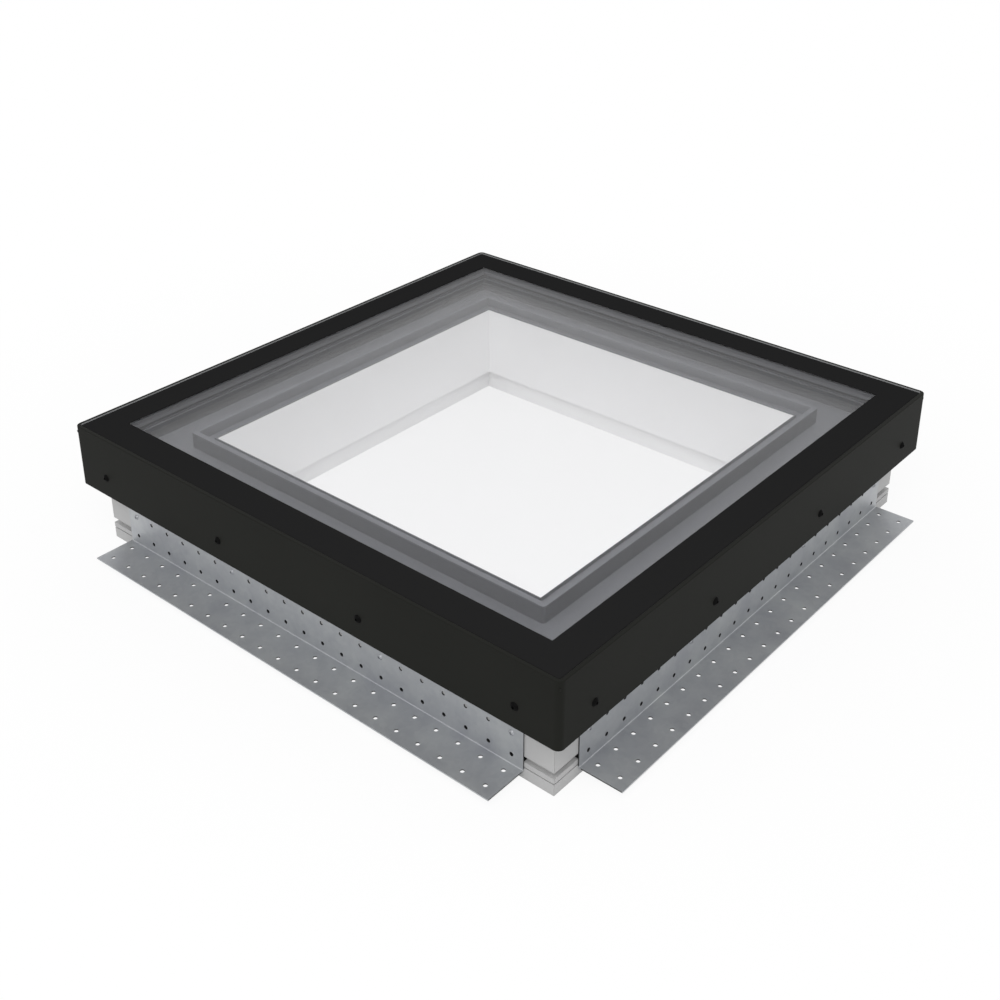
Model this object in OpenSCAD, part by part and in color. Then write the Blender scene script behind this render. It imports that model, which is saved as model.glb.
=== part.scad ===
// Fixed flat-roof skylight: an insulated kerb with folded fixing flanges,
// and a double-glazed unit bonded into a black cover frame that drops over the kerb.
// Millimetres, +Z up. The origin is the middle of the kerb's underside.
// Side pieces are drawn in a section plane: x runs out to the cover frame's face, y is height.

/* [Overall] */
// Width over the cover frame, along X
frame_w = 1000; // [800:1:1500]
// Depth over the cover frame, along Y
frame_d = 1000; // [800:1:1500]
// Height from the kerb's underside to the top of the rim
total_h = 215; // [205:1:260]

/* [Cover frame] */
// Height of the skirt, from its lower edge to the top of the rim
skirt_h = 107; // [100:1:115]
// Thickness of the skirt
skirt_t = 4; // [3:0.1:4]
// Width of the rim that surrounds the glass
rim_w = 6; // [5:0.1:7]
// Radius of the rim's outer top edge
rim_r = 1.2; // [0.8:0.1:3]
// Radius of the skirt's upright corners
corner_r = 10; // [8:0.5:14]
// Reach of the glazing ledge, from the skirt's face
ledge_w = 40; // [37:0.5:42]
// Thickness of the ledge and of its web and foot
ledge_t = 4; // [3:0.1:5]
// Width of the foot that presses on the kerb
foot_w = 9; // [7:0.5:10]

/* [Glass] */
// Depth of the glass face below the rim
glass_drop = 1.5; // [0.5:0.1:3]
// Joint between the outer pane and the rim
edge_joint = 2; // [1.5:0.1:3]
// Thickness of the outer pane
outer_glass_t = 4; // [4:0.5:6]
// Thickness of the inner pane
inner_glass_t = 4; // [4:0.5:6]
// Gap between the panes
cavity_h = 12; // [10:0.5:16]
// Distance by which the inner pane is set in from the frame's ledge
pane_step = 5; // [4:0.5:8]
// Corner radius of the outer pane
pane_r = 3; // [1:0.5:4]
// Width of the black printed border
print_w = 53.2; // [45:0.1:60]
// Thickness of the printed border
print_t = 0.3; // [0.2:0.1:0.5]
// Width of the edge seal between the panes
edge_seal_w = 7; // [5:0.5:9]
// Width of the spacer bar
spacer_w = 8; // [6:0.5:10]
// Wall of the hollow spacer bar
spacer_wall = 0.8; // [0.5:0.1:1.2]

/* [Seals] */
// Thickness of the bond between the outer pane and the ledge
bond_t = 4; // [3:0.5:5]
// Width of that bond
bond_w = 24; // [16:0.5:26]
// Thickness of the gasket under the inner pane's edge
bed_t = 3.6; // [3:0.1:5]
// Width of that gasket
bed_w = 9; // [6:0.5:10]
// Thickness of the soft tape on the seat's rib
rib_tape_t = 1.6; // [1:0.1:3]
// Thickness of the gasket between the frame's foot and the kerb
foot_gasket_t = 4; // [3:0.5:6]
// Depth of the joint seal below the glass face
joint_seal_drop = 0.7; // [0.3:0.1:1.5]

/* [Glazing seat] */
// Height of the seat
seat_h = 39.5; // [36:0.5:44]
// Wall of the seat moulding
seat_wall = 3; // [2:0.1:4]
// Width of the land that carries the edge of the glass
land_w = 22; // [20:0.5:24]
// Width of the channel between the land and the rib
channel_w = 67; // [60:0.5:70]
// Depth of the channel below the land
channel_d = 23.9; // [18:0.1:28]
// Width of the rib that carries the glass near the opening
rib_w = 9; // [7:0.5:12]
// Corner radius round the rib
rib_r = 5; // [3:0.5:8]
// Depth of the gutter inside the rib, below the kerb's lip
gutter_d = 2.4; // [1:0.1:5]
// Thickness of the upstand between the gutter and the kerb's lip
upstand_t = 1; // [0.8:0.1:2]
// Height of that upstand above the kerb's lip
upstand_rise = 3.2; // [0:0.1:5]
// Fit between the seat and the kerb around it
seat_fit = 0.5; // [0.3:0.1:1]

/* [Kerb] */
// Set-back of the kerb's face from the skirt's face
kerb_inset = 30; // [26:0.5:34]
// Thickness of the kerb, from its outer face to the opening
kerb_t = 129; // [126:0.5:136]
// Outer wall of the kerb, which the screws bite into
kerb_outer_wall = 9; // [8:0.5:11]
// Other walls and webs of the kerb
kerb_wall = 4; // [3:0.1:5]
// Fit between the kerb's head and the skirt
head_fit = 0.5; // [0.3:0.1:1]
// Height of the head's underside above the skirt's lower edge
head_rise = 10; // [6:0.5:16]
// Thickness of the lip round the opening
lip_t = 1.2; // [1:0.1:3]
// Depth of the kerb's head and lip below the inner pane
lip_clear = 14.8; // [12:0.1:17]
// Depth of the rebate for the ceiling board
rebate_d = 15; // [10:0.5:18]
// Height of the rebate for the ceiling board
rebate_h = 42.5; // [25:0.5:50]
// Height of the thin groove round the foot
groove_z = 18; // [14:0.5:20]
// Width of the thin groove
groove_w = 1.8; // [1:0.1:2.5]
// Depth of the thin groove
groove_d = 2.5; // [1:0.1:4]
// Height of the notch above the foot
notch_z = 28; // [25:0.5:38]
// Radius of the notch's curved side
notch_r = 10; // [8:0.5:14]
// Depth of the notch
notch_d = 6.5; // [2:0.1:6.5]
// Clearance of the insulation in its chambers
core_fit = 0.5; // [0.3:0.1:1]

/* [Fixing flanges] */
// Leg of the folded angle that lies above the deck
flange_leg = 72; // [66:0.5:80]
// Gap between the angle's upright leg and the kerb's head
flange_gap = 33; // [10:0.5:40]
// Sheet thickness of the angle
flange_t = 2; // [1.5:0.1:3]
// Inside radius of the fold
flange_bend = 1.5; // [1:0.1:4]
// Height of the angle's underside
flange_z = 13; // [8:0.5:16]
// Distance from the skirt's corner to the end of the angle
flange_end = 80; // [60:1:120]
// Spacing of the holes along the angle
hole_pitch = 40; // [30:0.5:50]
// Least distance from the angle's end to a hole's middle
hole_end = 15; // [10:0.5:19]
// Distance from the fold's back to the first row of holes
hole_row_1 = 18; // [14:0.5:20]
// Distance from a leg's edge to the second row of holes
hole_row_2 = 18; // [14:0.5:24]
// Diameter of the holes
hole_d = 6.5; // [5:0.1:7]
// Holes from the middle of the angle to an inner screw
screw_mid_holes = 4; // [2:1:6]

/* [Screws] */
// Head diameter of the flange screws
flange_head_d = 9; // [8:0.1:11]
// Head height of the flange screws
flange_head_h = 2.6; // [2:0.1:3.5]
// Shank diameter of the flange screws
flange_shank_d = 4.8; // [4:0.1:5]
// Length of each slot in the flange screws' cross recess
cross_l = 5; // [4:0.1:6]
// Width of those slots
cross_w = 1.2; // [0.8:0.1:1.6]
// Depth of the cross recess
cross_depth = 1.4; // [1:0.1:1.8]
// Head diameter of the frame screws
frame_head_d = 13; // [9:0.1:15]
// Head height of the frame screws
frame_head_h = 4; // [3:0.1:5]
// Shank diameter of the frame screws
frame_shank_d = 5.5; // [4:0.1:6]
// Width of the frame screws' six-sided recess, over its corners
hex_d = 4.6; // [3.5:0.1:6]
// Depth of the six-sided recess
hex_depth = 2.2; // [1.5:0.1:2.6]
// Height of the frame screws below the rim
frame_screw_drop = 72.5; // [60:0.5:78]
// Distance from the skirt's corner to the outer frame screws
frame_screw_end = 72; // [60:1:90]
// Distance between the two inner frame screws
frame_screw_mid = 298; // [200:1:320]
// Clearance round a screw's shank
screw_fit = 0.1; // [0.05:0.05:0.3]
// Distance from a screw's tip to the insulation behind it
screw_tip_back = 0.5; // [0.3:0.1:1]

/* [Location blocks] */
// Length of a block that centres the glass unit
block_l = 60; // [30:1:100]
// Height of a block
block_h = 16; // [10:0.5:18]
// Distance from the skirt's corner to a block's middle
block_end = 180; // [130:1:260]
// Clearance between a block and the parts beside it
block_fit = 0.2; // [0.1:0.05:0.4]

/* [Hidden] */
$fn = 48;
cut = 1;
SIDES = ["right", "back", "left", "front"];
side_half = [frame_w / 2, frame_d / 2, frame_w / 2, frame_d / 2];
side_len = [frame_d, frame_w, frame_d, frame_w];

// Heights, worked down from the rim
rim_top = total_h;
skirt_under = rim_top - skirt_h;
print_top = rim_top - glass_drop;
pane_top = print_top - print_t;
pane_under = pane_top - outer_glass_t;
ledge_top = pane_under - bond_t;
ledge_under = ledge_top - ledge_t;
cavity_under = pane_under - cavity_h;
unit_under = cavity_under - inner_glass_t;
land_top = unit_under - bed_t;
lip_top = unit_under - lip_clear;
rib_top = unit_under - rib_tape_t;
channel_top = land_top - channel_d;
gutter_top = lip_top - gutter_d;
seat_under = land_top - seat_h;
head_under = skirt_under + head_rise;
foot_under = lip_top + foot_gasket_t;
frame_screw_z = rim_top - frame_screw_drop;
flange_rise = head_under - flange_gap - flange_z;
flange_screw_z = flange_z + flange_rise - hole_row_2;

// Distances in from the skirt's face
outer_pane_in = rim_w + edge_joint;
inner_pane_in = ledge_w + pane_step;
print_in = outer_pane_in + print_w;
edge_seal_in = inner_pane_in + edge_seal_w;
spacer_in = edge_seal_in + spacer_w;
bond_in = (outer_pane_in + ledge_w - bond_w) / 2;
head_in = skirt_t + head_fit;
opening_in = kerb_inset + kerb_t;
lip_in = opening_in - lip_t;
rebate_in = opening_in - rebate_d;
seat_in = ledge_w + 2 * seat_fit;
head_inner = seat_in - seat_fit;
land_in = seat_in + land_w;
rib_out = land_in + channel_w;
rib_in = rib_out + rib_w;
seat_inner = lip_in - seat_fit;
bed_in = spacer_in - bed_w;
foot_in = ledge_w - foot_w;

// Chambers of the kerb, as [outer edge, inner edge, lower edge, upper edge]
core_out = kerb_inset + kerb_outer_wall;
core_inner = rebate_in - kerb_wall;
core_mid = (core_out + core_inner) / 2;
core_top = seat_under - kerb_wall;
head_core = min(core_out, head_inner);
core_chambers = [
    [core_out, core_mid - kerb_wall / 2, kerb_wall, core_top],
    [core_mid + kerb_wall / 2, core_inner, kerb_wall, core_top],
];
air_chambers = [
    [rebate_in, opening_in - kerb_wall, rebate_h + kerb_wall, core_top],
    [head_in + kerb_wall, head_core - kerb_wall, head_under + kerb_wall, lip_top - kerb_wall],
];

// Screw places along a side
function frame_screw_ys(i) = let (end = side_len[i] / 2 - frame_screw_end, mid = frame_screw_mid / 2)
    [-end, end, -mid, mid];
function flange_len(i) = side_len[i] - 2 * flange_end;
function hole_count(i) = floor((flange_len(i) - 2 * hole_end) / hole_pitch) + 1;
function hole_y(i, k) = (k - (hole_count(i) - 1) / 2) * hole_pitch;
function flange_screw_ys(i) = let (last = hole_count(i) - 1)
    [for (k = [0, floor(last / 2) - screw_mid_holes, ceil(last / 2) + screw_mid_holes, last]) hole_y(i, k)];
screw_tip = core_out - screw_tip_back;

// Moves a section drawn in from the skirt's face to one of the four sides
module at_side(i) {
    rotate(90 * i)
        translate([side_half[i], 0, 0])
            children();
}

// Runs a section along a side
module run(len) {
    rotate([90, 0, 0])
        linear_extrude(len, center = true)
            children();
}

// A section run along a side, with its ends cut to meet the next sides on the diagonals
module mitred(i, gap = 0) {
    reach = opening_in + cut;
    half = side_len[i] / 2 - gap;
    intersection() {
        run(side_len[i])
            children();
        linear_extrude(total_h)
            polygon([[0, -half], [0, half], [-reach, half - reach], [-reach, reach - half]]);
    }
}

// A rectangle in a section, by its distances in from the skirt's face and its heights
module block_2d(out, inner, low, high) {
    translate([-inner, low])
        square([inner - out, high - low]);
}

// A plan rectangle set in from the skirt's face, with rounded corners
module plan(in, r = 0) {
    w = frame_w - 2 * in;
    d = frame_d - 2 * in;
    if (r == 0) {
        square([w, d], center = true);
    } else {
        square([w - 2 * r, d], center = true);
        square([w, d - 2 * r], center = true);
        for (x = [-1, 1], y = [-1, 1])
            translate([x * (w / 2 - r), y * (d / 2 - r)])
                circle(r);
    }
}

// A flat ring between two distances in from the skirt's face
module ring(out, inner, low, high, out_r = 0, inner_r = 0) {
    translate([0, 0, low])
        linear_extrude(high - low)
            difference() {
                plan(out, out_r);
                plan(inner, inner_r);
            }
}

// Section of the skirt and its rim, with the rounded outer top edge
module skirt_2d() {
    block_2d(0, skirt_t, skirt_under, ledge_under);
    block_2d(0, rim_w, ledge_under, rim_top - rim_r);
    block_2d(rim_r, rim_w, rim_top - rim_r, rim_top);
    translate([-rim_r, rim_top - rim_r])
        circle(rim_r);
}

// The skirt all round, with round upright corners
module skirt() {
    for (i = [0:3]) {
        at_side(i)
            run(side_len[i] - 2 * corner_r)
                skirt_2d();
        at_side(i)
            translate([-corner_r, side_len[i] / 2 - corner_r, 0])
                rotate_extrude(angle = 90)
                    translate([corner_r, 0])
                        skirt_2d();
    }
}

// A hole drilled in from the skirt's face
module side_hole(y, z, d, depth) {
    translate([-depth, y, z])
        rotate([0, 90, 0])
            cylinder(h = depth + cut, d = d);
}

// A screw with a low domed head, pointing in, its head seated at x = 0
module screw(head_d, head_h, shank_d, reach) {
    dome_r = (head_d * head_d / 4 + head_h * head_h) / (2 * head_h);
    rotate([0, 90, 0]) {
        translate([0, 0, -reach])
            cylinder(h = reach, d = shank_d);
        difference() {
            intersection() {
                cylinder(h = head_h, d = head_d);
                translate([0, 0, head_h - dome_r])
                    sphere(dome_r);
            }
            children();
        }
    }
}

// Cross-shaped driver recess in the top of a flange screw
module cross_recess() {
    for (turn = [0, 90])
        rotate(turn)
            translate([-cross_l / 2, -cross_w / 2, flange_head_h - cross_depth])
                cube([cross_l, cross_w, cross_depth + cut]);
}

// Six-sided driver recess in the top of a frame screw
module hex_recess() {
    translate([0, 0, frame_head_h - hex_depth])
        cylinder(h = hex_depth + cut, d = hex_d, $fn = 6);
}

// Black cover frame: skirt, rim, glazing ledge, web and foot in one welded piece
module cover_frame() {
    color("#2c2d2c")
        difference() {
            union() {
                skirt();
                ring(skirt_t / 2, ledge_w, ledge_under, ledge_top);
                ring(ledge_w - ledge_t, ledge_w, foot_under, ledge_under + ledge_t / 2);
                ring(foot_in, ledge_w, foot_under, foot_under + ledge_t);
            }
            for (i = [0:3], y = frame_screw_ys(i))
                at_side(i)
                    side_hole(y, frame_screw_z, frame_shank_d + 2 * screw_fit, skirt_t + cut);
        }
}

// Outer pane, which reaches to the rim
module outer_pane() {
    color("#dfe8ea", 0.3)
        translate([0, 0, pane_under])
            linear_extrude(outer_glass_t)
                plan(outer_pane_in, pane_r);
}

// Black border printed on the outer pane
module border_print() {
    color("#1c1c1d")
        ring(outer_pane_in, print_in, pane_top, print_top, pane_r);
}

// Inner pane, set in all round
module inner_pane() {
    color("#dfe8ea", 0.3)
        translate([0, 0, unit_under])
            linear_extrude(inner_glass_t)
                plan(inner_pane_in);
}

// Hollow spacer bar between the panes, bent round the corners
module spacer_bar() {
    color("#77797e")
        difference() {
            ring(edge_seal_in, spacer_in, cavity_under, pane_under);
            ring(edge_seal_in - cut, spacer_in - spacer_wall,
                cavity_under + spacer_wall, pane_under - spacer_wall);
        }
}

// Grey seal that closes the unit behind the spacer bar
module edge_seal() {
    color("#6f7074")
        ring(inner_pane_in, edge_seal_in, cavity_under, pane_under);
}

// Structural bond between the outer pane and the ledge
module bond_seal() {
    color("#1a1a1a")
        ring(bond_in, bond_in + bond_w, ledge_top, pane_under);
}

// Weather seal in the joint between the outer pane and the rim
module joint_seal() {
    color("#161616")
        ring(rim_w, outer_pane_in, pane_under, print_top - joint_seal_drop, corner_r - rim_w, pane_r);
}

// Soft beds of the inner pane: the gasket under its edge and the tape on the seat's rib
module bed_gasket() {
    color("#5f6064") {
        ring(bed_in, bed_in + bed_w, land_top, unit_under);
        ring(rib_out, rib_in, rib_top, unit_under, rib_r);
    }
}

// Gasket between the frame's foot and the kerb's head
module foot_gasket() {
    color("#1a1a1a")
        ring(foot_in, head_inner - seat_fit, lip_top, foot_under);
}

// Grey seat moulding: the land, the channel, the rib and the gutter, hollow from below
module glazing_seat() {
    channel_mid = (land_in + rib_out) / 2;
    low = seat_under - cut;
    color("#7c7e83")
        difference() {
            union() {
                ring(seat_in, seat_inner, seat_under, channel_top);
                ring(seat_in, land_in, seat_under, land_top);
                ring(rib_out, rib_in, seat_under, rib_top, rib_r);
                ring(rib_out + seat_wall, seat_inner, seat_under, gutter_top);
                ring(seat_inner - upstand_t, seat_inner, seat_under, lip_top + upstand_rise);
            }
            ring(seat_in + seat_wall, land_in - seat_wall, low, land_top - seat_wall);
            ring(land_in, channel_mid - seat_wall / 2, low, channel_top - seat_wall);
            ring(channel_mid + seat_wall / 2, rib_out, low, channel_top - seat_wall);
            ring(rib_out + seat_wall, rib_in - seat_wall, low, rib_top - seat_wall);
            ring(rib_in, seat_inner - seat_wall, low, gutter_top - seat_wall);
        }
}

// Blocks that centre the glass unit in the frame
module location_blocks() {
    color("#202020")
        for (i = [0:3], end = [-1, 1], y = end * (side_len[i] / 2 - block_end))
            at_side(i)
                translate([-inner_pane_in + block_fit, y - block_l / 2, land_top])
                    cube([inner_pane_in - ledge_w - 2 * block_fit, block_l, block_h]);
}

// Outline of the kerb, before its chambers
module kerb_outline_2d() {
    difference() {
        polygon([
            [-rebate_in, 0], [-kerb_inset, 0], [-kerb_inset, head_under], [-head_in, head_under],
            [-head_in, lip_top], [-head_inner, lip_top], [-head_inner, seat_under], [-lip_in, seat_under],
            [-lip_in, lip_top], [-opening_in, lip_top], [-opening_in, rebate_h], [-rebate_in, rebate_h],
        ]);
        block_2d(kerb_inset - cut, kerb_inset + groove_d, groove_z, groove_z + groove_w);
        intersection() {
            translate([-kerb_inset - notch_d + notch_r, notch_z])
                circle(notch_r);
            block_2d(kerb_inset - notch_r, kerb_inset + notch_r, notch_z, notch_z + notch_r);
        }
    }
}

// White hollow kerb length, mitred at both ends, its head rounded to clear the skirt's corners
module kerb(i) {
    color("#e9e9e6")
        intersection() {
            at_side(i)
                difference() {
                    mitred(i)
                        difference() {
                            kerb_outline_2d();
                            for (c = concat(core_chambers, air_chambers))
                                block_2d(c[0], c[1], c[2], c[3]);
                        }
                    for (y = frame_screw_ys(i))
                        side_hole(y, frame_screw_z, frame_shank_d + 2 * screw_fit, core_out);
                    for (y = flange_screw_ys(i))
                        side_hole(y, flange_screw_z, flange_shank_d + 2 * screw_fit, core_out);
                }
            linear_extrude(total_h)
                plan(head_in, corner_r - head_in);
        }
}

// Insulation in the two large chambers of a kerb length
module kerb_core(i) {
    color("#d8d2c0")
        at_side(i)
            mitred(i, core_fit)
                for (c = core_chambers)
                    block_2d(c[0] + core_fit, c[1] - core_fit, c[2], c[3] - core_fit);
}

// Section of the folded angle
module flange_2d() {
    out_r = flange_bend + flange_t;
    translate([-kerb_inset, flange_z]) {
        translate([0, out_r])
            square([flange_t, flange_rise - out_r]);
        translate([out_r, 0])
            square([flange_leg - out_r, flange_t]);
        intersection() {
            square(out_r);
            translate([out_r, out_r])
                difference() {
                    circle(out_r);
                    circle(flange_bend);
                }
        }
    }
}

// Galvanised fixing angle with two rows of holes in each leg
module flange(i) {
    color("#9ba1a8")
        at_side(i)
            difference() {
                run(flange_len(i))
                    flange_2d();
                for (k = [0:hole_count(i) - 1]) {
                    for (row = [hole_row_1, flange_rise - hole_row_2])
                        translate([-kerb_inset - cut, hole_y(i, k), flange_z + row])
                            rotate([0, 90, 0])
                                cylinder(h = flange_t + 2 * cut, d = hole_d);
                    for (row = [hole_row_1, flange_leg - hole_row_2])
                        translate([-kerb_inset + row, hole_y(i, k), flange_z - cut])
                            cylinder(h = flange_t + 2 * cut, d = hole_d);
                }
            }
}

// Pan-head screws that hold an angle to the kerb
module flange_screws(i) {
    seat = flange_t - kerb_inset;
    color("#b4b8bc")
        for (y = flange_screw_ys(i))
            at_side(i)
                translate([seat, y, flange_screw_z])
                    screw(flange_head_d, flange_head_h, flange_shank_d, seat + screw_tip)
                        cross_recess();
}

// Black screws that hold the cover frame to the kerb's head
module frame_screws(i) {
    color("#101010")
        for (y = frame_screw_ys(i))
            at_side(i)
                translate([0, y, frame_screw_z])
                    screw(frame_head_d, frame_head_h, frame_shank_d, screw_tip)
                        hex_recess();
}

cover_frame();
outer_pane();
border_print();
inner_pane();
spacer_bar();
edge_seal();
bond_seal();
joint_seal();
bed_gasket();
foot_gasket();
glazing_seat();
location_blocks();
for (i = [0:3]) {
    kerb(i);
    kerb_core(i);
    flange(i);
    flange_screws(i);
    frame_screws(i);
}
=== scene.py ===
"""Looks of a fixed flat-roof skylight: the finish of every piece, and the studio round it."""

import math

import bmesh
import bpy
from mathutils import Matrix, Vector


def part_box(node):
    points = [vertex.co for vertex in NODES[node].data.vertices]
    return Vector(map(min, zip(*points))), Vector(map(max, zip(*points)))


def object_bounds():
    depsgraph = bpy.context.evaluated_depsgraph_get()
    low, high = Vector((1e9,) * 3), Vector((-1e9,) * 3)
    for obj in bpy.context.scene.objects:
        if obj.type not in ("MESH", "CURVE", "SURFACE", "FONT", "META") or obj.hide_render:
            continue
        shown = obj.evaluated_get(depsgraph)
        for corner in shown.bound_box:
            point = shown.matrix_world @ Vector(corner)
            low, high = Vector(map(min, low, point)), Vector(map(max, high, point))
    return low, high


bl_info = {
    "name": "Flat-roof skylight",
    "version": (1, 0, 0),
    "blender": (4, 5, 0),
    "location": "3D View > Sidebar > Skylight",
    "description": "Finishes a fixed skylight with its glass, cover frame, kerb and fixing angles",
    "category": "Object",
}

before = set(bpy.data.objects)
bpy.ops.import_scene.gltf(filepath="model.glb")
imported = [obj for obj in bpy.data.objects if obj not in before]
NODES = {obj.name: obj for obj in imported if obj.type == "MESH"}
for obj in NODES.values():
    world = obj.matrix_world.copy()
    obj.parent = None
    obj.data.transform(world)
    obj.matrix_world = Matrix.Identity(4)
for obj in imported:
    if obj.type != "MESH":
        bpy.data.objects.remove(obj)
CAD_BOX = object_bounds()
SIDES = ("right", "back", "left", "front")

# Places on the solids, in metres. A reach is the distance from the middle out to a side.
RIM_TOP = CAD_BOX[1].z
GLASS_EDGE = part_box("outer_pane")[1].x
RIM_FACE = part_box("joint_seal")[1].x
SEAT_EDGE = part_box("glazing_seat")[1].x
ANGLE_LOW, ANGLE_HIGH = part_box("flange_right")
ANGLE_END = ANGLE_HIGH.y
KERB_FACE = ANGLE_LOW.x
# Widths of the seat's land, channel and rib, from its edge inwards.
LAND, CHANNEL, RIB = 0.022, 0.067, 0.009
CHANNEL_MIDDLE = SEAT_EDGE - LAND - CHANNEL / 2
RIB_MIDDLE = SEAT_EDGE - LAND - CHANNEL - RIB / 2
# Height of the fold in the angles, and its reach.
FOLD = 0.004
# Width over which one finish turns into the next, and the kerb's white into the painted shade grey
# of its outer faces.
FADE = 0.0005
KERB_FADE = 0.010
# Sizes of a part of the normal between which a face turns into another kind of face.
TURN = (0.3, 0.7)
# Power by which glass mirrors more as it is seen at a flatter angle.
SLANT_POWER = 5.0
# Clear faces that one line of sight may pass.
CLEAR_FACES = 24
WHITE = (1.0, 1.0, 1.0, 1.0)


class Value:
    """A shader value. Arithmetic on it adds Math nodes to its material."""

    def __init__(self, shader, socket):
        self.shader = shader
        self.socket = socket

    def math(self, operation, *others):
        """The result of a Math node on this value and the others, in order."""
        inputs = dict(enumerate((self, *others)))
        return self.shader.add("ShaderNodeMath", inputs, operation=operation)

    def __add__(self, other):
        return self.math("ADD", other)

    def __radd__(self, other):
        return self.math("ADD", other)

    def __sub__(self, other):
        return self.math("SUBTRACT", other)

    def __rsub__(self, other):
        return self.shader.add("ShaderNodeMath", {0: other, 1: self}, operation="SUBTRACT")

    def __mul__(self, other):
        return self.math("MULTIPLY", other)

    def __rmul__(self, other):
        return self.math("MULTIPLY", other)

    def clamped(self):
        """This value held between 0 and 1."""
        return self.shader.add("ShaderNodeClamp", {"Value": self})

    def between(self, low, high):
        """A smooth step: 0 where this value is low or less, 1 where it is high or more."""
        inputs = {"Value": self, "From Min": low, "From Max": high}
        return self.shader.add("ShaderNodeMapRange", inputs, interpolation_type="SMOOTHSTEP")

    def above(self, limit, fade=FADE):
        """1 where this value is the limit or more, fading to 0 just below it."""
        return self.between(limit - fade, limit)

    def below(self, limit):
        """1 where this value is the limit or less, fading to 0 just above it."""
        return 1.0 - self.between(limit, limit + FADE)

    def within(self, low, high):
        """1 where this value is between two limits, fading to 0 just outside them."""
        return self.above(low) * self.below(high)

    def spread(self, low, high):
        """This value, from 0 to 1, stretched to run from low to high."""
        inputs = {"Value": self, "To Min": low, "To Max": high}
        return self.shader.add("ShaderNodeMapRange", inputs)


class Shader:
    """A node tree under construction, for a material or the world."""

    def __init__(self, owner):
        owner.use_nodes = True
        self.owner = owner
        self.tree = owner.node_tree
        self.tree.nodes.clear()
        kind = "World" if isinstance(owner, bpy.types.World) else "Material"
        self.output = self.tree.nodes.new("ShaderNodeOutput" + kind)

    def add(self, kind, inputs=None, out=0, **settings):
        """Adds a node, with its settings first and then the values or links of its sockets."""
        made = self.tree.nodes.new(kind)
        for name, value in settings.items():
            setattr(made, name, value)
        for name, value in (inputs or {}).items():
            if isinstance(value, Value):
                self.tree.links.new(value.socket, made.inputs[name])
            else:
                made.inputs[name].default_value = value
        return Value(self, made.outputs[out])

    def place(self):
        """Object coordinates, which are the row frame's metres."""
        return self.add("ShaderNodeTexCoord", out="Object")

    def parts(self, vector):
        """The X, Y and Z of a vector."""
        return [self.add("ShaderNodeSeparateXYZ", {"Vector": vector}, out=axis) for axis in "XYZ"]

    def height(self):
        """The height above the row frame's origin, in metres."""
        return self.parts(self.place())[2]

    def spans(self):
        """The distances from the middle along X and along Y, in metres."""
        return [part.math("ABSOLUTE") for part in self.parts(self.place())[:2]]

    def reach(self):
        """The distance from the middle towards the nearest side, in metres."""
        ahead, aside = self.spans()
        return ahead.math("MAXIMUM", aside)

    def along(self):
        """The distance from the middle along the nearest side, in metres."""
        ahead, aside = self.spans()
        return ahead.math("MINIMUM", aside)

    def lean(self):
        """The size of the face's normal along X, Y and Z."""
        normal = self.add("ShaderNodeNewGeometry", out="True Normal")
        return [part.math("ABSOLUTE") for part in self.parts(normal)]

    def upright(self):
        """1 on upright faces, 0 on level ones."""
        return 1.0 - self.lean()[2].between(*TURN)

    def outward(self):
        """1 on faces square to the way out to the nearest side, 0 on faces along it."""
        ahead, aside = self.spans()
        side = ahead.math("GREATER_THAN", aside)
        along_x, along_y, _ = self.lean()
        return (side * along_x + (1.0 - side) * along_y).between(*TURN)

    def noise(self, size, detail=2.0):
        """Noise from 0 to 1 whose blotches are about that size in metres."""
        inputs = {"Vector": self.place(), "Scale": 1.0 / size, "Detail": detail}
        return self.add("ShaderNodeTexNoise", inputs)

    def cells(self, size, out="Distance"):
        """Voronoi cells of about that size in metres: their distance or their colour."""
        inputs = {"Vector": self.place(), "Scale": 1.0 / size}
        return self.add("ShaderNodeTexVoronoi", inputs, out=out)

    def blend(self, factor, first, second):
        """A mix of two colours, whose sockets share their names with those of numbers."""
        inputs = {0: factor, 6: first, 7: second}
        return self.add("ShaderNodeMix", inputs, out=2, data_type="RGBA")

    def vary(self, factor, rgb, first, second):
        """A colour that runs from one share of itself to another."""
        return self.blend(factor, shade(rgb, first), shade(rgb, second))

    def bump(self, height, depth, edge=0.0):
        """A normal from a height field of that depth, over edges of that radius, in metres."""
        inputs = {"Height": height, "Distance": depth, "Strength": 1.0}
        if edge:
            inputs["Normal"] = self.soft_edge(edge)
        return self.add("ShaderNodeBump", inputs)

    def soft_edge(self, radius):
        """A normal that rounds sharp edges to that radius in metres."""
        return self.add("ShaderNodeBevel", {"Radius": radius}, samples=4)

    def show(self, surface):
        """Sets what the tree shows."""
        self.tree.links.new(surface.socket, self.output.inputs["Surface"])

    def principled(self, **inputs):
        """Shows one Principled surface. Socket names are given with _ for a space."""
        named = {name.replace("_", " "): value for name, value in inputs.items()}
        self.show(self.add("ShaderNodeBsdfPrincipled", named))


def new_finish(name):
    """A new material's shader."""
    return Shader(bpy.data.materials.new(name))


def colour(rgb):
    """A colour property as the four numbers that a socket takes."""
    return (*rgb, 1.0)


def shade(rgb, share_of_it):
    """A colour made lighter or darker by a share."""
    return colour([min(1.0, part * share_of_it) for part in rgb])


def dress(shader, slot, *names):
    """Gives a finish to CAD nodes."""
    for name in names:
        node = NODES[name]
        node.data.materials.clear()
        node.data.materials.append(shader.owner)


def on_sides(stem):
    """The names of the four nodes of one kind."""
    return [f"{stem}_{side}" for side in SIDES]


def tint(name, rgb, words):
    """A colour property."""
    return bpy.props.FloatVectorProperty(
        name=name, description=words, subtype="COLOR", size=3, min=0.0, max=1.0, default=rgb
    )


def length(name, metres, words):
    """A length property."""
    return bpy.props.FloatProperty(
        name=name, description=words, unit="LENGTH", subtype="DISTANCE", default=metres
    )


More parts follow.
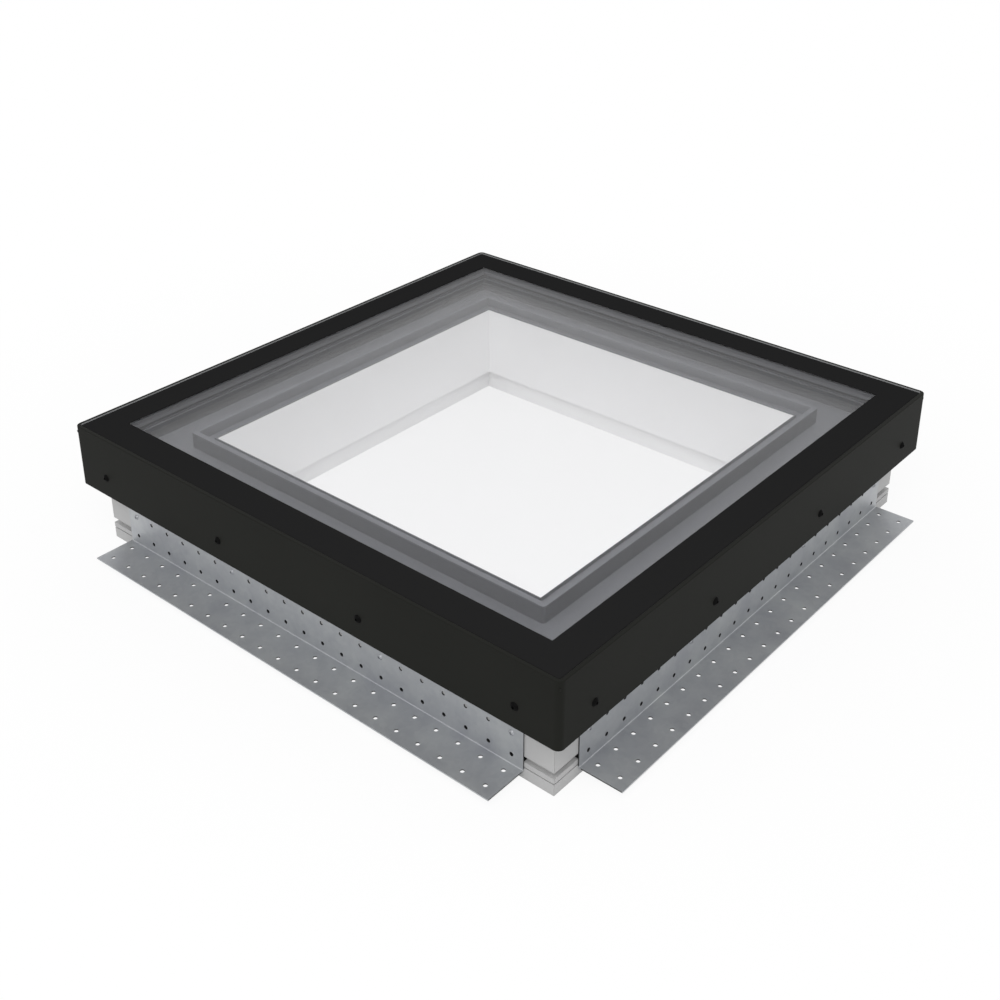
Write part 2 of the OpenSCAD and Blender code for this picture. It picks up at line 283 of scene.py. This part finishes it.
def share(name, value, words):
    """A property from 0 to 1."""
    return bpy.props.FloatProperty(
        name=name, description=words, subtype="FACTOR", min=0.0, max=1.0, default=value
    )


def spot(name, metres, words):
    """A place property."""
    return bpy.props.FloatVectorProperty(
        name=name, description=words, unit="LENGTH", subtype="TRANSLATION", default=metres
    )


def angle(name, degrees, words):
    """An angle property."""
    return bpy.props.FloatProperty(
        name=name, description=words, subtype="ANGLE", default=math.radians(degrees)
    )


class SkylightFinish(bpy.types.PropertyGroup):
    """Colours and texture sizes of the skylight's finishes."""

    frame_black: tint("Frame", (0.0121, 0.0125, 0.0108), "Powder coat of the cover frame")
    # A light grey painted highlight along the rim's inner edge, beside the glass.
    painted_highlight_edge: tint("Bare edge", (0.30, 0.305, 0.31), "Inner edge of the rim, beside the glass")
    print_black: tint("Border", (0.0155, 0.0155, 0.0157), "Ceramic print round the glass")
    rubber_black: tint("Black seal", (0.010, 0.010, 0.010), "Black sealant and gaskets")
    seal_grey: tint("Edge seal", (0.17, 0.175, 0.19), "Seal and spacer between the panes")
    seat_grey: tint("Seat", (0.175, 0.180, 0.195), "Moulding under the glass, and its gasket")
    kerb_white: tint("Kerb", (0.95, 0.95, 0.95), "Plastic of the kerb, round the opening")
    # Painted shade: the kerb's outer faces are this grey, though the plastic is white.
    kerb_shaded_grey: tint("Kerb outside", (0.42, 0.42, 0.42), "Plastic of the kerb's outer faces")
    steel_grey: tint("Angle", (0.455, 0.470, 0.468), "Galvanised sheet of the angles")
    steel_blue: tint("Angle, bluer", (0.452, 0.463, 0.510), "Bluer patches of that sheet")
    zinc_grey: tint("Zinc screw", (0.40, 0.41, 0.43), "Plating of the angles' screws")
    foam_cream: tint("Insulation", (0.70, 0.66, 0.52), "Foam in the kerb")
    glass_clear: tint("Glass", (0.990, 0.990, 0.992), "Light that one face of a pane lets through")

    glass_mirror: share("Mirror", 0.012, "Share of glass that mirrors when seen straight on")
    glass_veil: share("Veil", 0.6, "Share of the mirrored light that the glass returns")
    # Painted shade: the seat's upright faces by its channel are darker than its level faces.
    rib_painted_shade: share("Rib shade", 0.75, "Lightness of the rib's side beside the seat's level faces")
    channel_painted_shade: share("Channel shade", 0.45, "Lightness of the channel's outer side beside them")
    ring_shade: share("Ring shade", 0.55, "Lightness of the gasket at the glass's edge")
    # Cut edges are bare steel, darkened further as painted shade in the holes and at the ends.
    cut_steel_and_shade: share("Cut shade", 0.15, "Lightness of cut edges beside the sheet's face")
    crystals: share("Crystals", 0.15, "How far single crystals show in the zinc")
    frame_rough: share("Frame roughness", 0.50, "Roughness of the powder coat")
    print_rough: share("Border roughness", 0.42, "Roughness of the ceramic print")

    # Depth of that painted highlight below the rim's top.
    painted_highlight_depth: length("Bare edge", 0.0035, "Depth of the bare edge below the rim's top")
    # Depth of that painted shade in from the kerb's outer faces.
    kerb_shade_depth: length("Grey skin", 0.020, "Depth to which the kerb is grey from outside")
    # A black painted shade on the kerb behind the angles, seen through their holes.
    shade_strip_depth: length("Strip depth", 0.010, "Depth of the black strip behind the angles")
    shade_strip_top: length("Strip top", 0.050, "Height of that strip's upper edge")
    soft_edge: length("Soft edge", 0.0008, "Radius to which sharp edges are rounded")

    coat_grain: length("Coat grain", 0.0009, "Size of the powder coat's grain")
    coat_patch: length("Coat patches", 0.18, "Size of the powder coat's patches")
    print_mottle: length("Border mottle", 0.004, "Size of the print's mottle")
    spacer_cloud: length("Spacer clouds", 0.02, "Size of the dull patches on the spacer bar")
    sealant_ripple: length("Sealant ripple", 0.012, "Size of the ripple in the edge seal")
    rubber_ripple: length("Rubber ripple", 0.006, "Size of the ripple in the gaskets")
    seat_grain: length("Seat grain", 0.0015, "Size of the moulding's grain")
    seat_patch: length("Seat patches", 0.12, "Size of the moulding's patches")
    kerb_grain: length("Kerb grain", 0.002, "Size of the kerb's grain")
    kerb_cloud: length("Kerb clouds", 0.09, "Size of the kerb's clouds")
    foam_bead: length("Foam beads", 0.004, "Size of the insulation's beads")
    spangle: length("Spangle", 0.007, "Size of the crystals in the zinc")
    zinc_cloud: length("Zinc clouds", 0.05, "Size of the clouds in the zinc")
    plate_grain: length("Plating grain", 0.002, "Size of the grain on the angles' screws")
    coating_wear: length("Coating wear", 0.003, "Size of the wear on the frame's screws")


class SkylightStage(bpy.types.PropertyGroup):
    """Camera and light."""

    camera_place: spot("Camera", (1.3132, -1.5647, 1.2990), "Place of the camera")
    camera_turn: angle("Turn", 40.32, "Camera's angle round the object")
    camera_dip: angle("Dip", 24.98, "Camera's angle below the horizon")
    camera_lens: bpy.props.FloatProperty(
        name="Lens", description="Focal length", subtype="DISTANCE_CAMERA", default=50.22
    )
    camera_shift: bpy.props.FloatVectorProperty(
        name="Shift",
        description="Offset of the picture, as a share of its width",
        size=2,
        default=(-0.00315, -0.1645),
    )
    sky: bpy.props.FloatProperty(
        name="Sky", description="Strength of the studio's even light", default=0.8
    )
    key: bpy.props.FloatProperty(
        name="Key lamp", description="Power of the key lamp", subtype="POWER", default=60.0
    )
    key_place: spot("Key lamp's place", (1.3, -2.3, 3.0), "Place of the key lamp")
    key_size: length("Key lamp's size", 3.0, "Diameter of the key lamp")
    floor_span: length("Floor", 24.0, "Width of the floor")
    floor_white: tint("Floor", (0.90, 0.90, 0.90), "Colour of the floor")
    floor_glow: share("Floor glow", 0.9, "How far the floor is lifted to white near the object")
    glow_start: length("Glow start", 0.6, "Distance from which the floor is lifted further")
    glow_end: length("Glow end", 1.5, "Distance from which the floor is quite white")


class Piece:
    """What the operators have in common."""

    bl_options = {"REGISTER", "UNDO"}

    @property
    def finish(self):
        """The colours and texture sizes."""
        return bpy.context.scene.skylight_finish

    def execute(self, context):
        """Makes what the operator is for."""
        self.make(context)
        return {"FINISHED"}


class SKYLIGHT_OT_cover_frame(Piece, bpy.types.Operator):
    """Powder-coated cover frame"""

    bl_idname = "skylight.cover_frame"
    bl_label = "Cover frame"

    def make(self, context):
        """A matt black coat with a fine grain, and a painted highlight on the rim's inner edge
        beside the glass.
        """
        look = self.finish
        coat = new_finish("powder_coat")
        grain = coat.noise(look.coat_grain, detail=3.0)
        patch = coat.noise(look.coat_patch)
        paint = coat.vary(patch, look.frame_black, 0.9, 1.12)
        # Painted highlight: the rim's upright inner face is light grey near its top.
        edge = coat.upright() * coat.height().above(RIM_TOP - look.painted_highlight_depth)
        edge = edge * coat.reach().within(GLASS_EDGE, RIM_FACE + FADE)
        coat.principled(
            Base_Color=coat.blend(edge, paint, colour(look.painted_highlight_edge)),
            Roughness=(grain - 0.5) * 0.12 + look.frame_rough,
            Specular_IOR_Level=0.04,
            Normal=coat.bump(grain, depth=0.00004, edge=look.soft_edge),
        )
        dress(coat, "frame_black", "cover_frame")


class SKYLIGHT_OT_glass(Piece, bpy.types.Operator):
    """Two panes of clear glass"""

    bl_idname = "skylight.glass"
    bl_label = "Glass"

    def make(self, context):
        """Clear faces that mirror more as they are seen at a flat angle."""
        look = self.finish
        pane = new_finish("clear_glass")
        through = pane.add("ShaderNodeBsdfTransparent", {"Color": colour(look.glass_clear)})
        veil = {"Color": shade(WHITE[:3], look.glass_veil), "Roughness": 0.02}
        mirror = pane.add("ShaderNodeBsdfGlossy", veil)
        slant = pane.add("ShaderNodeLayerWeight", {"Blend": 0.5}, out="Facing")
        mirrored = slant.math("POWER", SLANT_POWER).spread(look.glass_mirror, 1.0)
        pane.show(pane.add("ShaderNodeMixShader", {0: mirrored, 1: through, 2: mirror}))
        dress(pane, "glass", "outer_pane", "inner_pane")


class SKYLIGHT_OT_border(Piece, bpy.types.Operator):
    """Black border printed on the glass"""

    bl_idname = "skylight.border"
    bl_label = "Printed border"

    def make(self, context):
        """An even matt print with a faint mottle."""
        look = self.finish
        ink = new_finish("ceramic_print")
        mottle = ink.noise(look.print_mottle, detail=3.0)
        ink.principled(
            Base_Color=ink.vary(mottle, look.print_black, 0.95, 1.05),
            Roughness=(mottle - 0.5) * 0.1 + look.print_rough,
            Specular_IOR_Level=0.0,
            Normal=ink.bump(mottle, depth=0.00002),
        )
        dress(ink, "print_black", "border_print")


class SKYLIGHT_OT_unit_edge(Piece, bpy.types.Operator):
    """Spacer bar and edge seal between the panes"""

    bl_idname = "skylight.unit_edge"
    bl_label = "Unit edge"

    def make(self, context):
        """A dull spacer bar, and a sealant with a slight ripple."""
        look = self.finish
        bar = new_finish("spacer_metal")
        cloud = bar.noise(look.spacer_cloud, detail=3.0)
        bar.principled(
            Base_Color=bar.vary(cloud, look.seal_grey, 0.68, 0.78),
            Metallic=0.2,
            Roughness=cloud.spread(0.42, 0.55),
            Normal=bar.soft_edge(look.soft_edge),
        )
        dress(bar, "spacer_grey", "spacer_bar")
        seal = new_finish("edge_sealant")
        ripple = seal.noise(look.sealant_ripple)
        seal.principled(
            Base_Color=seal.vary(ripple, look.seal_grey, 0.45, 0.55),
            Roughness=ripple.spread(0.5, 0.62),
            Normal=seal.bump(ripple, depth=0.0002),
        )
        dress(seal, "edge_seal_grey", "edge_seal")


class SKYLIGHT_OT_seals(Piece, bpy.types.Operator):
    """Bond, joint seal, gaskets and blocks"""

    bl_idname = "skylight.seals"
    bl_label = "Seals and blocks"

    def make(self, context):
        """Black and grey rubber, smooth with a slight ripple."""
        look = self.finish
        black = new_finish("black_rubber")
        ripple = black.noise(look.rubber_ripple)
        black.principled(
            Base_Color=black.vary(ripple, look.rubber_black, 0.8, 1.3),
            Roughness=ripple.spread(0.5, 0.65),
            Normal=black.bump(ripple, depth=0.0001),
        )
        dress(black, "seal_black", "bond_seal", "joint_seal", "foot_gasket")
        dress(black, "block_black", "location_blocks")
        grey = new_finish("grey_rubber")
        ripple = grey.noise(look.rubber_ripple)
        ring = grey.reach().above(CHANNEL_MIDDLE)
        grey.principled(
            Base_Color=grey.vary(ring, look.seat_grey, 1.0, look.ring_shade),
            Roughness=ripple.spread(0.55, 0.7),
            Normal=grey.bump(ripple, depth=0.0001),
        )
        dress(grey, "gasket_grey", "bed_gasket")


class SKYLIGHT_OT_seat(Piece, bpy.types.Operator):
    """Grey glazing seat"""

    bl_idname = "skylight.seat"
    bl_label = "Glazing seat"

    def make(self, context):
        """Grey moulded plastic with a fine grain, with painted shade on the upright sides of its
        channel.
        """
        look = self.finish
        moulded = new_finish("seat_moulding")
        grain = moulded.noise(look.seat_grain, detail=3.0)
        patch = moulded.noise(look.seat_patch)
        reach = moulded.reach()
        level = moulded.vary(patch, look.seat_grey, 0.97, 1.03)
        # Painted shade: the rib's and the channel's upright sides are darker than the level faces.
        outer_side = reach.above(CHANNEL_MIDDLE)
        side = moulded.vary(outer_side, look.seat_grey, look.rib_painted_shade, look.channel_painted_shade)
        channel = moulded.upright() * reach.above(RIB_MIDDLE)
        moulded.principled(
            Base_Color=moulded.blend(channel, level, side),
            Roughness=grain.spread(0.4, 0.55),
            Normal=moulded.bump(grain, depth=0.00001, edge=2.0 * look.soft_edge),
        )
        dress(moulded, "seat_grey", "glazing_seat")


class SKYLIGHT_OT_kerb(Piece, bpy.types.Operator):
    """White kerb with its insulation"""

    bl_idname = "skylight.kerb"
    bl_label = "Kerb"

    def make(self, context):
        """Satin plastic, white inside and grey outside as painted shade, black as painted shade
        behind the angles, and foam.
        """
        look = self.finish
        plastic = new_finish("kerb_plastic")
        cloud = plastic.noise(look.kerb_cloud, detail=3.0)
        grain = plastic.noise(look.kerb_grain)
        reach = plastic.reach()
        white = plastic.vary(cloud, look.kerb_white, 0.98, 1.02)
        grey = plastic.vary(cloud, look.kerb_shaded_grey, 0.95, 1.05)
        # Painted shade: the kerb's outer faces turn grey, though the plastic is white.
        outside = reach.above(KERB_FACE - look.kerb_shade_depth, KERB_FADE)
        # Painted shade: the kerb is black behind the angles, where their holes look in.
        strip = reach.within(KERB_FACE - look.shade_strip_depth, KERB_FACE + FADE)
        strip = strip * plastic.height().within(ANGLE_LOW.z + 2 * FADE, look.shade_strip_top)
        strip = strip * plastic.along().below(ANGLE_END - 2 * FADE)
        shaded_skin = plastic.blend(outside, white, grey)
        plastic.principled(
            Base_Color=plastic.blend(strip, shaded_skin, colour(look.rubber_black)),
            Roughness=grain.spread(0.36, 0.46),
            Normal=plastic.bump(grain, depth=0.00002, edge=look.soft_edge),
        )
        dress(plastic, "kerb_white", *on_sides("kerb"))
        foam = new_finish("rigid_foam")
        bead = foam.cells(look.foam_bead)
        foam.principled(
            Base_Color=foam.vary(bead, look.foam_cream, 0.8, 1.1),
            Roughness=0.9,
            Normal=foam.bump(bead, depth=0.0004),
        )
        dress(foam, "insulation", *on_sides("kerb_core"))


class SKYLIGHT_OT_angles(Piece, bpy.types.Operator):
    """Galvanised fixing angles"""

    bl_idname = "skylight.angles"
    bl_label = "Fixing angles"

    def make(self, context):
        """Zinc crystals of slightly different greys and shines, and darker cut edges: bare steel,
        with painted shade on the hole walls and sheet ends.
        """
        look = self.finish
        zinc = new_finish("galvanised_sheet")
        cell = zinc.cells(look.spangle, out="Color")
        crystal = zinc.add("ShaderNodeSeparateColor", {"Color": cell})
        cloud = zinc.noise(look.zinc_cloud, detail=3.0)
        tone = (crystal * look.crystals + cloud * (1.0 - look.crystals)).clamped()
        sheet = zinc.blend(tone, shade(look.steel_blue, 0.74), shade(look.steel_grey, 1.16))
        standing = zinc.height().within(ANGLE_LOW.z + FOLD, ANGLE_HIGH.z - FADE)
        lying = zinc.reach().within(KERB_FACE + FOLD + 2 * FADE, ANGLE_HIGH.x - 2 * FADE)
        # The cut edges are partly bare steel and partly painted shade on the hole walls and the
        # sheet's ends.
        cut = (1.0 - zinc.outward()) * standing + zinc.upright() * lying
        zinc.principled(
            Base_Color=zinc.blend(cut.clamped(), sheet, shade(look.steel_grey, look.cut_steel_and_shade)),
            Metallic=0.75,
            Roughness=tone.spread(0.38, 0.52),
            Normal=zinc.bump(cloud, depth=0.0001, edge=0.5 * look.soft_edge),
        )
        dress(zinc, "galvanised", *on_sides("flange"))


class SKYLIGHT_OT_screws(Piece, bpy.types.Operator):
    """Screws of the angles and of the cover frame"""

    bl_idname = "skylight.screws"
    bl_label = "Screws"

    def make(self, context):
        """Bright plated heads below, black coated heads on the frame."""
        look = self.finish
        plated = new_finish("zinc_plate")
        grain = plated.noise(look.plate_grain)
        plated.principled(
            Base_Color=plated.vary(grain, look.zinc_grey, 0.85, 1.1),
            Metallic=0.9,
            Roughness=grain.spread(0.40, 0.50),
        )
        dress(plated, "screw_zinc", *on_sides("flange_screws"))
        coated = new_finish("black_coating")
        wear = coated.noise(look.coating_wear)
        coated.principled(
            Base_Color=coated.vary(wear, look.rubber_black, 0.25, 0.45),
            Roughness=wear.spread(0.4, 0.5),
            Specular_IOR_Level=0.03,
        )
        dress(coated, "screw_black", *on_sides("frame_screws"))


class SKYLIGHT_OT_stage(Piece, bpy.types.Operator):
    """Floor, light and camera"""

    bl_idname = "skylight.stage"
    bl_label = "Studio"

    def make(self, context):
        """A pale studio with the photograph's view."""
        stage = context.scene.skylight_stage
        context.scene.view_settings.view_transform = "Standard"
        context.scene.cycles.transparent_max_bounces = CLEAR_FACES
        self.floor(context, stage)
        self.sky(context, stage)
        self.key_lamp(context, stage)
        self.camera(context, stage)

    def floor(self, context, stage):
        """A pale floor that fades into the white background."""
        mesh = bmesh.new()
        bmesh.ops.create_grid(mesh, x_segments=2, y_segments=2, size=stage.floor_span / 2)
        data = bpy.data.meshes.new("floor")
        mesh.to_mesh(data)
        mesh.free()
        floor = bpy.data.objects.new("floor", data)
        context.collection.objects.link(floor)
        paint = new_finish("studio_floor")
        far = paint.add("ShaderNodeVectorMath", {0: paint.place()}, out=1, operation="LENGTH")
        white = paint.add("ShaderNodeEmission", {"Color": WHITE, "Strength": 1.0})
        matt = paint.add("ShaderNodeBsdfDiffuse", {"Color": colour(stage.floor_white)})
        glow = far.between(stage.glow_start, stage.glow_end).spread(stage.floor_glow, 1.0)
        pale = glow * self.seen(paint)
        paint.show(paint.add("ShaderNodeMixShader", {0: pale, 1: matt, 2: white}))
        data.materials.append(paint.owner)

    def sky(self, context, stage):
        """Even light from all round, and white where it is seen."""
        world = bpy.data.worlds.new("studio")
        context.scene.world = world
        air = Shader(world)
        light = air.add("ShaderNodeBackground", {"Color": WHITE, "Strength": stage.sky})
        white = air.add("ShaderNodeBackground", {"Color": WHITE, "Strength": 1.0})
        air.show(air.add("ShaderNodeMixShader", {0: self.seen(air), 1: light, 2: white}))

    @staticmethod
    def seen(shader):
        """1 where the camera sees a surface, straight or by way of metal or glass."""
        rays = ("Is Camera Ray", "Is Glossy Ray", "Is Transmission Ray")
        camera, glossy, clear = (shader.add("ShaderNodeLightPath", out=name) for name in rays)
        return (camera + glossy + clear).clamped()

    def key_lamp(self, context, stage):
        """A large soft lamp that looks at the object."""
        data = bpy.data.lights.new("key_lamp", "AREA")
        data.shape = "DISK"
        data.size = stage.key_size
        data.energy = stage.key
        lamp = bpy.data.objects.new("key_lamp", data)
        lamp.location = stage.key_place
        lamp.rotation_euler = (-Vector(stage.key_place)).to_track_quat("-Z", "Y").to_euler()
        context.collection.objects.link(lamp)

    def camera(self, context, stage):
        """The camera, at the photograph's place."""
        data = bpy.data.cameras.new("camera")
        data.lens = stage.camera_lens
        data.shift_x, data.shift_y = stage.camera_shift
        camera = bpy.data.objects.new("camera", data)
        camera.location = stage.camera_place
        camera.rotation_euler = (math.pi / 2 - stage.camera_dip, 0.0, stage.camera_turn)
        context.collection.objects.link(camera)
        context.scene.camera = camera


class SKYLIGHT_PT_panel(bpy.types.Panel):
    """Lists the skylight's pieces and finishes."""

    bl_label = "Skylight"
    bl_idname = "SKYLIGHT_PT_panel"
    bl_space_type = "VIEW_3D"
    bl_region_type = "UI"
    bl_category = "Skylight"

    def draw(self, context):
        """A button for each operator, then the properties."""
        for operator in OPERATORS:
            self.layout.operator(operator.bl_idname)
        for group in (context.scene.skylight_finish, context.scene.skylight_stage):
            for name in group.__annotations__:
                self.layout.prop(group, name)


OPERATORS = (
    SKYLIGHT_OT_cover_frame,
    SKYLIGHT_OT_glass,
    SKYLIGHT_OT_border,
    SKYLIGHT_OT_unit_edge,
    SKYLIGHT_OT_seals,
    SKYLIGHT_OT_seat,
    SKYLIGHT_OT_kerb,
    SKYLIGHT_OT_angles,
    SKYLIGHT_OT_screws,
    SKYLIGHT_OT_stage,
)
CLASSES = (SkylightFinish, SkylightStage, *OPERATORS, SKYLIGHT_PT_panel)


def register():
    """Registers the classes and their properties."""
    for made in CLASSES:
        bpy.utils.register_class(made)
    bpy.types.Scene.skylight_finish = bpy.props.PointerProperty(type=SkylightFinish)
    bpy.types.Scene.skylight_stage = bpy.props.PointerProperty(type=SkylightStage)


def unregister():
    """Undoes register."""
    del bpy.types.Scene.skylight_stage
    del bpy.types.Scene.skylight_finish
    for made in reversed(CLASSES):
        bpy.utils.unregister_class(made)


def main():
    """Makes every piece and the stage."""
    register()
    for operator in OPERATORS:
        group, name = operator.bl_idname.split(".")
        getattr(getattr(bpy.ops, group), name)()


if __name__ == "__main__":
    main()
